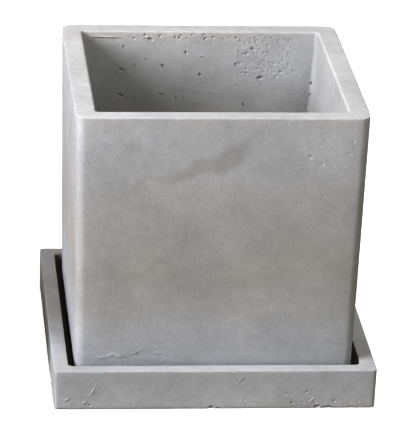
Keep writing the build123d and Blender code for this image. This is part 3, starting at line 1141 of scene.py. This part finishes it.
saucer_section = (
    straight((0, 0, SAUCER_FLOOR, 0), (RECESS_FOOT_HALF, RECESS_ARRIS, SAUCER_FLOOR, 0), 30)
    + straight(
        (RECESS_FOOT_HALF, RECESS_ARRIS, SAUCER_FLOOR, 0),
        (RECESS_HALF, RECESS_ARRIS, SAUCER_HEIGHT - SAUCER_RIM_ROUND, 0),
        6,
    )
    + rounded(
        (RECESS_HALF + SAUCER_RIM_ROUND, SAUCER_HEIGHT - SAUCER_RIM_ROUND),
        SAUCER_RIM_ROUND, RECESS_ARRIS + SAUCER_RIM_ROUND, 180, 90, 4,
    )
    + straight(
        (RECESS_HALF + SAUCER_RIM_ROUND + RIM_STEP, RECESS_ARRIS, SAUCER_HEIGHT, 0),
        (SAUCER_HALF - SAUCER_RIM_ROUND, SAUCER_ARRIS, SAUCER_HEIGHT, SAUCER_RELIEF),
        2,
    )
    + rounded(
        (SAUCER_HALF - SAUCER_RIM_ROUND, SAUCER_HEIGHT - SAUCER_RIM_ROUND),
        SAUCER_RIM_ROUND, SAUCER_ARRIS - SAUCER_RIM_ROUND, 90, 0, 4, SAUCER_RELIEF,
    )
    + straight(
        (
            SAUCER_HALF - SAUCER_SIDE_FALL, SAUCER_ARRIS,
            SAUCER_HEIGHT - SAUCER_SIDE_STEP, SAUCER_RELIEF,
        ),
        (SAUCER_HALF - SAUCER_DRAFT_INSET, SAUCER_ARRIS, SAUCER_FOOT_ROUND, SAUCER_RELIEF),
        12,
    )
    + rounded(
        (SAUCER_HALF - SAUCER_DRAFT_INSET - SAUCER_FOOT_ROUND, SAUCER_FOOT_ROUND),
        SAUCER_FOOT_ROUND, SAUCER_ARRIS - SAUCER_FOOT_ROUND, 0, -90, 3, SAUCER_RELIEF,
    )
    + straight(
        (SAUCER_HALF - SAUCER_FOOT_STEP, SAUCER_ARRIS, 0, SAUCER_RELIEF),
        (0, 0, 0, 0),
        30,
    )
    + [Vector((0, 0, 0, 0))]
)
cement_saucer = cement(
    "cement_saucer",
    foot=saucer_low.z - 100 * MM,
    top=saucer_high.z + 2 * MM,
    shift=(0.31, 0.12, 0.07),
    # Painted light: tone at the top of the saucer, a little darker than its side
    top_painted_light=0.505,
    hollow_half=RECESS_HALF,
    # Painted shade: browner inside the square of the recess, where the pot stands
    hollow_shade_colour=(1.0, 0.96, 0.88),
    # Painted shade: a greenish dark shadow painted over the back of the saucer's left rim and side
    stain_and_shade_place=(saucer_low.x, 0.25 * saucer_high.y, saucer_high.z),
    stain_and_shade_lean=(0, 0, 0),
    stain_and_shade_size=(30 * MM, 62 * MM, 30 * MM),
    stain_and_shade_bend=0.0,
    stain_and_shade_colour=(0.82, 0.80, 0.70),
    stain_and_shade_depth=0.45,
)

casting_tree = square_casting_tree()
saucer = section_object("saucer_casting", saucer_section, closed=False)
run_tree(saucer, casting_tree, {
    "Side steps": 76,
    "Corner steps": 5,
    "Relief reach": 6.0 * MM,
    "Mould wave": 0.12 * MM,
    "Skin ripple": 0.08 * MM,
    "Fold depth": 0.12 * MM,
    "Fold top": SAUCER_HEIGHT,
    "Wave seed": 3.0,
    "Material": cement_saucer,
})
holes_tree = air_holes_tree()

FAR = 1.0                          # well past the casting
TO_FRONT = (0, -1, 0)
TO_BACK = (0, 1, 0)
TO_RIGHT = (1, 0, 0)
TO_LEFT = (-1, 0, 0)
DOWNWARD = (0, 0, -1)


def press_air_holes(
    casting, region_low, region_high, facing,
    per_square_metre, spacing, smallest, largest, stretch, depth, seed,
):
    """Pits the faces of a casting that lie inside a box, given in metres, and face one way.

    The holes' spacing and half widths are in millimetres. Depth is a share of the half width.
    """
    run_tree(casting, holes_tree, {
        "Region low": region_low,
        "Region high": region_high,
        "Facing": facing,
        "Holes per square metre": float(per_square_metre),
        "Spacing": spacing * MM,
        "Smallest": smallest * MM,
        "Largest": largest * MM,
        "Stretch": stretch,
        "Depth": depth,
        "Seed": seed,
        "Material": casting.data.materials[0],
    })


saucer_skin = saucer_low.y + 0.6 * MM
pits_half = 80 * MM                # how far the pits reach along a side
pits_foot = 0.8 * MM
pits_top = 7 * MM
for region_low, region_high, facing, amount, largest, seed in (
    # the lower edge of the front, at its left end, at its right end and thinly between
    ((saucer_low.x, -FAR, pits_foot), (-60 * MM, saucer_skin, 5 * MM), TO_FRONT, 90000, 0.7, 4),
    ((38 * MM, -FAR, pits_foot), (78 * MM, saucer_skin, 5.5 * MM), TO_FRONT, 160000, 0.8, 2),
    ((-50 * MM, -FAR, 1.0 * MM), (36 * MM, saucer_skin, 15 * MM), TO_FRONT, 6000, 0.6, 6),
    # the lower edges of the right, left and back
    ((0, -pits_half, pits_foot), (FAR, pits_half, pits_top), TO_RIGHT, 30000, 0.7, 5),
    ((-FAR, -pits_half, pits_foot), (0, pits_half, pits_top), TO_LEFT, 30000, 0.7, 9),
    ((-pits_half, 0, pits_foot), (pits_half, FAR, pits_top), TO_BACK, 30000, 0.7, 8),
    # the underside
    ((-pits_half, -pits_half, -FAR), (pits_half, pits_half, 1 * MM), DOWNWARD, 2500, 1.1, 3),
):
    press_air_holes(
        saucer, region_low, region_high, facing, per_square_metre=amount,
        spacing=1.7, smallest=0.22, largest=largest, stretch=1.5, depth=0.5, seed=seed,
    )

# Chips on the lower edge and corners, and grooves scraped into the front while the mix was green.
chips = bmesh.new()
for corner, (side_x, side_y) in enumerate(((-1, -1), (1, -1), (1, 1), (-1, 1))):
    corner_place = (side_x * saucer_high.x, side_y * saucer_high.x, 0.6 * MM)
    lump(chips, corner_place, size=(1.3, 1.4, 1.8), lean=(0, 0, 0.6 * corner), seed=corner + 0.4)
for across, height, size, lean, seed in (
    # a notch near the middle and the chip beside it
    (-2.2, 0.2, (1.9, 1.6, 2.1), 0.3, 1.7),
    (1.2, 0.0, (1.3, 1.2, 1.2), 0, 2.9),
    # shallow chips along the rest of the edge
    (53, 0.6, (2.2, 1.1, 2.0), 0.5, 5.1),
    (59, 0.1, (5.0, 1.1, 1.2), 0.1, 9.4),
    (70, 0.3, (1.5, 1.0, 1.4), 0.4, 6.6),
    (38, 0.0, (3.6, 0.8, 0.8), 0, 7.9),
    (-79, 0.3, (2.2, 0.9, 1.0), 0, 8.3),
    # scraped grooves
    (13.4, 15.4, (2.1, 0.45, 0.5), -0.75, 3.3),
    (9.6, 14.0, (1.5, 0.4, 0.4), -0.8, 4.6),
    (47, 9.4, (1.7, 0.7, 0.6), -0.85, 6.2),
    (37, 8.4, (1.1, 0.35, 0.35), -0.7, 7.4),
):
    lump(chips, (across * MM, saucer_low.y, height * MM), size, (0, lean, 0), seed)
combine(saucer, chips, "DIFFERENCE")

# Burrs of cement that stuck to the front as the mould came off.
burrs = bmesh.new()
burr_skin = saucer_low.y + 0.46 * MM
for across, height, size, lean, seed in (
    (-63.4, 10.4, (2.6, 0.40, 0.7), -1.1, 1.2),
    (-76.5, 5.9, (1.7, 0.38, 0.6), -0.6, 2.3),
    (-67.5, 4.2, (1.8, 0.38, 0.5), -0.4, 3.7),
    (50, 4.6, (1.9, 0.38, 0.5), -0.9, 4.1),
):
    lump(burrs, (across * MM, burr_skin, height * MM), size, (0, lean, 0), seed)
combine(saucer, burrs, "UNION")
SHARP_EDGE = math.radians(40)
saucer.data.set_sharp_from_angle(angle=SHARP_EDGE)
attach(saucer, "saucer")
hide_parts("saucer")


# ---------------------------------------------------------------------------
# The pot: a thick-walled square box of the same cement, cast in one piece. It
# tapers a little to its foot so that the mould could be drawn off, and it has a
# drain hole. It stands loose in the saucer.
# ---------------------------------------------------------------------------

pot_low, pot_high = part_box("pot")
POT_RIM_HALF = pot_high.x
POT_TOP = pot_high.z
POT_FOOT = pot_low.z
POT_FOOT_HALF = 72.44 * MM
CAVITY_HALF = 64.0 * MM
CAVITY_FLOOR_HALF = 56.64 * MM
CAVITY_FLOOR = POT_FOOT + 15.0 * MM
POT_ARRIS = 5.0 * MM
POT_RELIEF = 0.4 * MM              # how far the uprights are worn back
CAVITY_ARRIS = 1.6 * MM
CAVITY_COVE = 1.2 * MM
RIM_OUTER_ROUND = 0.45 * MM
RIM_INNER_ROUND = 1.3 * MM
FOOT_ROUND = 1.2 * MM
DRAIN_RADIUS = 9.0 * MM
WALL_STEP = 2 * MM                 # from the cavity's cove to the wall's first row of points
POT_SIDE_FALL = 0.03 * MM          # how far the side has drawn in at its first row of points
POT_SIDE_STEP = 1.6 * MM           # from the rim to that row
POT_FOOT_STEP = 4 * MM             # from the side to the first row under the foot
POT_FOLDS = 32 * MM                # height above the foot where the mix left folds on the mould
POT_FOLDS_TOP = POT_FOOT + POT_FOLDS
POT_FOLDS_HALF = (
    POT_FOOT_HALF + (POT_RIM_HALF - POT_FOOT_HALF) * POT_FOLDS / (POT_TOP - POT_FOOT)
)

pot_section = (
    straight(
        (DRAIN_RADIUS, DRAIN_RADIUS, POT_FOOT, 0),
        (DRAIN_RADIUS, DRAIN_RADIUS, CAVITY_FLOOR, 0),
        5,
    )
    + straight(
        (DRAIN_RADIUS, DRAIN_RADIUS, CAVITY_FLOOR, 0),
        (CAVITY_FLOOR_HALF - CAVITY_COVE, CAVITY_ARRIS, CAVITY_FLOOR, 0),
        16,
    )
    + rounded(
        (CAVITY_FLOOR_HALF - CAVITY_COVE, CAVITY_FLOOR + CAVITY_COVE),
        CAVITY_COVE, CAVITY_ARRIS - CAVITY_COVE, -90, 0, 3,
    )
    + straight(
        (CAVITY_FLOOR_HALF + 0.2 * MM, CAVITY_ARRIS, CAVITY_FLOOR + CAVITY_COVE + WALL_STEP, 0),
        (CAVITY_HALF - 0.1 * MM, CAVITY_ARRIS, POT_TOP - RIM_INNER_ROUND, 0),
        60,
    )
    + rounded(
        (CAVITY_HALF + RIM_INNER_ROUND, POT_TOP - RIM_INNER_ROUND),
        RIM_INNER_ROUND, CAVITY_ARRIS + RIM_INNER_ROUND, 180, 90, 5,
    )
    + straight(
        (CAVITY_HALF + RIM_INNER_ROUND + RIM_STEP, POT_ARRIS, POT_TOP, 0),
        (POT_RIM_HALF - RIM_OUTER_ROUND, POT_ARRIS, POT_TOP, POT_RELIEF),
        3,
    )
    + rounded(
        (POT_RIM_HALF - RIM_OUTER_ROUND, POT_TOP - RIM_OUTER_ROUND),
        RIM_OUTER_ROUND, POT_ARRIS - RIM_OUTER_ROUND, 90, 0, 4, POT_RELIEF,
    )
    + straight(
        (
            POT_RIM_HALF - POT_SIDE_FALL, POT_ARRIS,
            POT_TOP - RIM_OUTER_ROUND - POT_SIDE_STEP, POT_RELIEF,
        ),
        (POT_FOLDS_HALF, POT_ARRIS, POT_FOLDS_TOP, POT_RELIEF),
        54,
    )
    + straight(
        (POT_FOLDS_HALF, POT_ARRIS, POT_FOLDS_TOP, POT_RELIEF),
        (POT_FOOT_HALF, POT_ARRIS, POT_FOOT + FOOT_ROUND, POT_RELIEF),
        36,
    )
    + rounded(
        (POT_FOOT_HALF - FOOT_ROUND, POT_FOOT + FOOT_ROUND),
        FOOT_ROUND, POT_ARRIS - FOOT_ROUND, 0, -90, 3, POT_RELIEF,
    )
    + straight(
        (POT_FOOT_HALF - POT_FOOT_STEP, POT_ARRIS, POT_FOOT, POT_RELIEF),
        (DRAIN_RADIUS, DRAIN_RADIUS, POT_FOOT, 0),
        18,
    )
)
cement_pot = cement(
    "cement_pot",
    foot=pot_low.z,
    top=pot_high.z,
    shift=(0.0, 0.0, 0.0),
    # Painted highlight: paler tone at the top of the pot, on its rims
    top_painted_light=0.562,
    hollow_half=CAVITY_HALF,
    # Painted shade: duller and browner inside the hollow
    hollow_shade_colour=(0.99, 0.975, 0.94),
    stain_and_shade_place=(-3 * MM, pot_low.y, POT_TOP - 25 * MM),
    stain_and_shade_lean=(0, math.radians(-26), 0),
    stain_and_shade_size=(46 * MM, 20 * MM, 6 * MM),
    stain_and_shade_bend=2.6,
    stain_and_shade_colour=(0.88, 0.87, 0.86),
    stain_and_shade_depth=0.9,
)

pot = section_object("pot_casting", pot_section, closed=True)
run_tree(pot, casting_tree, {
    "Side steps": 72,
    "Corner steps": 8,
    "Relief reach": 11.0 * MM,
    "Mould wave": 0.15 * MM,
    "Skin ripple": 0.15 * MM,
    "Fold depth": 0.45 * MM,
    "Fold top": POT_FOLDS_TOP,
    "Wave seed": 7.0,
    "Material": cement_pot,
})
WALL_BACK = 55 * MM                # nearer the middle than any inner wall
UNDER_RIM = POT_TOP - 4.6 * MM

# Small bubbles that rose and stopped under the rim, on the inside of the back wall.
press_air_holes(
    pot, (-42 * MM, WALL_BACK, UNDER_RIM), (50 * MM, FAR, POT_TOP - 2.4 * MM), TO_FRONT,
    per_square_metre=400000, spacing=1.4, smallest=0.42, largest=0.85, stretch=1.3, depth=0.55, seed=4,
)

# A rough band in its right half.
press_air_holes(
    pot, (22 * MM, WALL_BACK, 130 * MM), (52 * MM, FAR, UNDER_RIM), TO_FRONT,
    per_square_metre=260000, spacing=1.6, smallest=0.4, largest=0.75, stretch=1.6, depth=0.28, seed=2,
)

# Larger slanting holes here and there.
press_air_holes(
    pot, (-52 * MM, WALL_BACK, 92 * MM), (52 * MM, FAR, UNDER_RIM), TO_FRONT,
    per_square_metre=5500, spacing=7.0, smallest=0.55, largest=1.1, stretch=1.9, depth=0.9, seed=11,
)
press_air_holes(
    pot, (-60 * MM, WALL_BACK, 30 * MM), (60 * MM, FAR, 122 * MM), TO_FRONT,
    per_square_metre=12000, spacing=3.0, smallest=0.25, largest=0.65, stretch=1.4, depth=0.6, seed=5,
)

# The other inner walls.
press_air_holes(
    pot, (-FAR, -60 * MM, 40 * MM), (-WALL_BACK, 60 * MM, UNDER_RIM), TO_RIGHT,
    per_square_metre=5000, spacing=4.0, smallest=0.25, largest=0.9, stretch=1.5, depth=0.7, seed=6,
)
press_air_holes(
    pot, (WALL_BACK, -60 * MM, 30 * MM), (FAR, 60 * MM, 120 * MM), TO_LEFT,
    per_square_metre=2500, spacing=4.0, smallest=0.2, largest=0.6, stretch=1.5, depth=0.5, seed=7,
)
press_air_holes(
    pot, (-60 * MM, -FAR, 30 * MM), (60 * MM, -WALL_BACK, UNDER_RIM), TO_BACK,
    per_square_metre=5000, spacing=4.0, smallest=0.25, largest=0.9, stretch=1.5, depth=0.7, seed=8,
)

# A scuffed patch in the upper right of the front.
press_air_holes(
    pot, (42 * MM, -FAR, 126 * MM), (68 * MM, -70 * MM, 148 * MM), TO_FRONT,
    per_square_metre=60000, spacing=1.7, smallest=0.3, largest=0.7, stretch=2.4, depth=0.16, seed=13,
)

# The outer faces, which are nearly closed.
press_air_holes(
    pot, (-66 * MM, -FAR, 20 * MM), (66 * MM, -70 * MM, 150 * MM), TO_FRONT,
    per_square_metre=350, spacing=9.0, smallest=0.15, largest=0.45, stretch=1.4, depth=0.5, seed=9,
)
press_air_holes(
    pot, (70 * MM, -66 * MM, 20 * MM), (FAR, 66 * MM, 150 * MM), TO_RIGHT,
    per_square_metre=2500, spacing=6.0, smallest=0.25, largest=0.7, stretch=1.4, depth=0.6, seed=10,
)
press_air_holes(
    pot, (-FAR, -66 * MM, 20 * MM), (-70 * MM, 66 * MM, 150 * MM), TO_LEFT,
    per_square_metre=1500, spacing=6.0, smallest=0.22, largest=0.6, stretch=1.4, depth=0.5, seed=3,
)
press_air_holes(
    pot, (-66 * MM, 70 * MM, 20 * MM), (66 * MM, FAR, 150 * MM), TO_BACK,
    per_square_metre=2500, spacing=6.0, smallest=0.25, largest=0.8, stretch=1.4, depth=0.6, seed=12,
)

# Two drain channels cross under the pot, and a knock dented the left upright near the rim.
CHANNEL_HALF = 4.5 * MM
CHANNEL_DEPTH = 2.5 * MM
CHANNEL_LENGTH = 0.2               # past both sides of the pot
channels = bmesh.new()
for turn in (0.0, math.pi / 2):
    bar = bmesh.ops.create_cube(channels, size=1.0)
    bar_size = (CHANNEL_LENGTH, 2 * CHANNEL_HALF, 2 * CHANNEL_DEPTH)
    bmesh.ops.scale(channels, verts=bar["verts"], vec=bar_size)
    bmesh.ops.rotate(channels, verts=bar["verts"], matrix=Matrix.Rotation(turn, 3, "Z"))
    bmesh.ops.translate(channels, verts=bar["verts"], vec=(0, 0, POT_FOOT))
dent_place = (-73.2 * MM, pot_low.y + 0.6 * MM, POT_TOP - 5 * MM)
lump(channels, dent_place, size=(0.9, 1.0, 1.8), lean=(0, 0, 0), seed=2.2)
combine(pot, channels, "DIFFERENCE")

# Chips down the far right inner corner, where the mould's corner strip tore the skin.
TORN_INSET = 0.3 * MM              # the chips sit just inside the corner
TORN_SPREAD = 0.5 * MM
torn_places = ((128, 1.2), (121, 2.4), (115, 1.8), (109, 2.6), (101, 1.6), (94, 2.0))
torn = bmesh.new()
for step, (height, length) in enumerate(torn_places):
    depth_share = (POT_TOP - height * MM) / (POT_TOP - CAVITY_FLOOR)
    corner = CAVITY_HALF - depth_share * (CAVITY_HALF - CAVITY_FLOOR_HALF) - TORN_INSET
    torn_place = (corner - TORN_SPREAD * (step % 3), corner, height * MM)
    lump(torn, torn_place, size=(0.8, 0.55, 0.8 * length), lean=(0, 0.5, 0.4), seed=step + 0.6)
combine(pot, torn, "DIFFERENCE")

# Low wrinkles of squeezed-out mix climb a little across the lower left of the front, and a thin
# skim hangs in one inner corner of the rim.
RIDGES = 11
RIDGES_LEFT = -58                  # millimetres
RIDGES_LENGTH = 40
RIDGES_FOOT = 24.5
RIDGES_CLIMB = 7
RIDGES_SWAY = 4.5
ridges = bmesh.new()
ridge_skin = -POT_FOOT_HALF + 0.27 * MM
for step in range(RIDGES):
    along = step / (RIDGES - 1)
    sway = noise.noise(Vector((3.1 * step, 0.4, 0.9)))
    across = (RIDGES_LEFT + RIDGES_LENGTH * along) * MM
    height = (RIDGES_FOOT + RIDGES_CLIMB * along + RIDGES_SWAY * sway) * MM
    ridge_size = (4.6 + 2 * sway, 0.5, 1.7)
    ridge_lean = (0, -0.2 - 0.9 * sway, 0)
    lump(ridges, (across, ridge_skin, height), ridge_size, ridge_lean, step + 0.4)
skim_place = (-52 * MM, CAVITY_HALF - 0.1 * MM, POT_TOP - 3.4 * MM)
lump(ridges, skim_place, size=(9, 0.45, 0.5), lean=(0, 0.03, 0), seed=5.5)
combine(pot, ridges, "UNION")
pot.data.set_sharp_from_angle(angle=SHARP_EDGE)
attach(pot, "pot")
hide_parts("pot")


# ---------------------------------------------------------------------------
# Stage: a pale round floor of paper that curves up into a pale backdrop, a dark
# card beside the saucer, soft square lights in a dim room, and the camera. None
# of it belongs to the planter.
# ---------------------------------------------------------------------------

STAGE_RADIUS = 9.0
STAGE_COVE = 3.0
STAGE_HEIGHT = 9.0
COVE_STEPS = 12
ROUND_STEPS = 96


def stage_paper():
    """Pale paper that is bright by itself, so only a light shadow shows on it."""
    material = bpy.data.materials.new("pale_paper")
    material.use_nodes = True
    nodes = material.node_tree.nodes
    shader = nodes["Principled BSDF"]
    shader.inputs["Base Color"].default_value = (0.3, 0.3, 0.3, 1)
    shader.inputs["Roughness"].default_value = 1.0
    shader.inputs["Specular IOR Level"].default_value = 0.0
    shader.inputs["Emission Color"].default_value = (1, 1, 1, 1)
    shader.inputs["Emission Strength"].default_value = 0.88
    return material


backdrop_mesh = bpy.data.meshes.new("studio_backdrop")
shape = bmesh.new()
outline = [(STAGE_RADIUS - STAGE_COVE, 0.0)]
for step in range(1, COVE_STEPS + 1):
    rise = math.radians(90 * step / COVE_STEPS)
    reach = STAGE_RADIUS - STAGE_COVE + STAGE_COVE * math.sin(rise)
    outline.append((reach, STAGE_COVE * (1 - math.cos(rise))))
outline.append((STAGE_RADIUS, STAGE_HEIGHT))
centre = shape.verts.new((0, 0, 0))
rings = []
for radius, height in outline:
    rings.append([
        shape.verts.new((
            radius * math.cos(math.tau * k / ROUND_STEPS),
            radius * math.sin(math.tau * k / ROUND_STEPS),
            height,
        ))
        for k in range(ROUND_STEPS)
    ])
for k in range(ROUND_STEPS):
    after = (k + 1) % ROUND_STEPS
    shape.faces.new((centre, rings[0][k], rings[0][after]))
    for lower, upper in zip(rings, rings[1:]):
        shape.faces.new((lower[k], upper[k], upper[after], lower[after]))
for face in shape.faces:
    face.smooth = True
shape.to_mesh(backdrop_mesh)
shape.free()
backdrop = bpy.data.objects.new("studio_backdrop", backdrop_mesh)
bpy.context.scene.collection.objects.link(backdrop)
backdrop.data.materials.append(stage_paper())
backdrop.visible_diffuse = False
backdrop.visible_glossy = False
backdrop.visible_shadow = False

# A dark card stands low beside the saucer, out of the camera's sight. It keeps the window light
# off the saucer's side.
CARD_HEIGHT = 50 * MM
CARD_FRONT = -60 * MM
CARD_BACK = 250 * MM
card_x = saucer_low.x - 55 * MM
card_mesh = bpy.data.meshes.new("shade_card")
card_mesh.from_pydata(
    [
        (card_x, CARD_FRONT, 0),
        (card_x, CARD_BACK, 0),
        (card_x, CARD_BACK, CARD_HEIGHT),
        (card_x, CARD_FRONT, CARD_HEIGHT),
    ],
    [],
    [(0, 1, 2, 3)],
)
card_paint = bpy.data.materials.new("dark_card")
card_paint.use_nodes = True
card_shader = card_paint.node_tree.nodes["Principled BSDF"]
card_shader.inputs["Base Color"].default_value = (0.05, 0.06, 0.045, 1)
card_shader.inputs["Roughness"].default_value = 1.0
card_mesh.materials.append(card_paint)
card = bpy.data.objects.new("shade_card", card_mesh)
bpy.context.scene.collection.objects.link(card)
card.visible_camera = False

world = bpy.data.worlds.new("dim_room")
bpy.context.scene.world = world
world.use_nodes = True
room = world.node_tree.nodes["Background"]
room.inputs["Color"].default_value = (1.0, 0.84, 0.52, 1)
room.inputs["Strength"].default_value = 0.30


LIGHTS_AIM = Vector((0, 0, 80 * MM))
FAR_LIGHT = 5.6
WHITE = (1.0, 1.0, 1.0)


def soft_light(name, azimuth, elevation, distance, size, strength, colour):
    """A square soft light that faces the planter.

    Azimuth 0 is the front and 90 the right, and strength is what falls on the planter.
    """
    lamp = bpy.data.lights.new(name, "AREA")
    lamp.shape = "SQUARE"
    lamp.size = size
    lamp.energy = strength * math.pi * distance ** 2
    lamp.color = colour
    holder = bpy.data.objects.new(name, lamp)
    round_by = math.radians(azimuth)
    up_by = math.radians(elevation)
    away = Vector((
        math.sin(round_by) * math.cos(up_by),
        -math.cos(round_by) * math.cos(up_by),
        math.sin(up_by),
    ))
    holder.location = away * distance + LIGHTS_AIM
    holder.rotation_mode = "QUATERNION"
    holder.rotation_quaternion = away.to_track_quat("Z", "Y")
    bpy.context.scene.collection.objects.link(holder)


soft_light("window_left", -66, 27, 2.2, 1.14, 5.8, (0.995, 0.982, 1.005))
soft_light("front_high", 10, 42, FAR_LIGHT, 2.1, 1.48, (0.99, 1.0, 1.03))
soft_light("front_higher", 30, 66, FAR_LIGHT, 2.1, 0.66, WHITE)
soft_light("overhead", 90, 78, FAR_LIGHT, 2.4, 0.50, (1.0, 1.0, 0.96))
soft_light("back_fill", 150, 2, FAR_LIGHT, 1.2, 1.1, WHITE)
soft_light("front_low", 15, 7, FAR_LIGHT, 2.1, 0.25, WHITE)

# The camera stands a little left of the front and looks down at the planter.
CAMERA_PLACE = Vector((-0.16654, -1.55984, 0.69323))
CAMERA_TURN = -0.1069
CAMERA_DIP = 0.3753
CAMERA_ROLL = 0.0392
CAMERA_LENS = 265.52               # millimetres, on a sensor 36 mm wide
camera_data = bpy.data.cameras.new("camera")
camera = bpy.data.objects.new("camera", camera_data)
camera_data.sensor_width = 36.0
camera_data.lens = CAMERA_LENS
camera_data.dof.use_dof = False
ahead = Vector((
    -math.sin(CAMERA_TURN) * math.cos(CAMERA_DIP),
    math.cos(CAMERA_TURN) * math.cos(CAMERA_DIP),
    -math.sin(CAMERA_DIP),
))
level = Vector((math.cos(CAMERA_TURN), math.sin(CAMERA_TURN), 0))
up = level.cross(ahead)
rolled_right = math.cos(CAMERA_ROLL) * level + math.sin(CAMERA_ROLL) * up
rolled_up = -math.sin(CAMERA_ROLL) * level + math.cos(CAMERA_ROLL) * up
axes = Matrix((rolled_right, rolled_up, -ahead)).transposed()
camera.matrix_world = Matrix.Translation(CAMERA_PLACE) @ axes.to_4x4()
bpy.context.scene.collection.objects.link(camera)
bpy.context.scene.camera = camera
bpy.context.scene.view_settings.view_transform = "Standard"
bpy.context.scene.view_settings.gamma = 0.5556
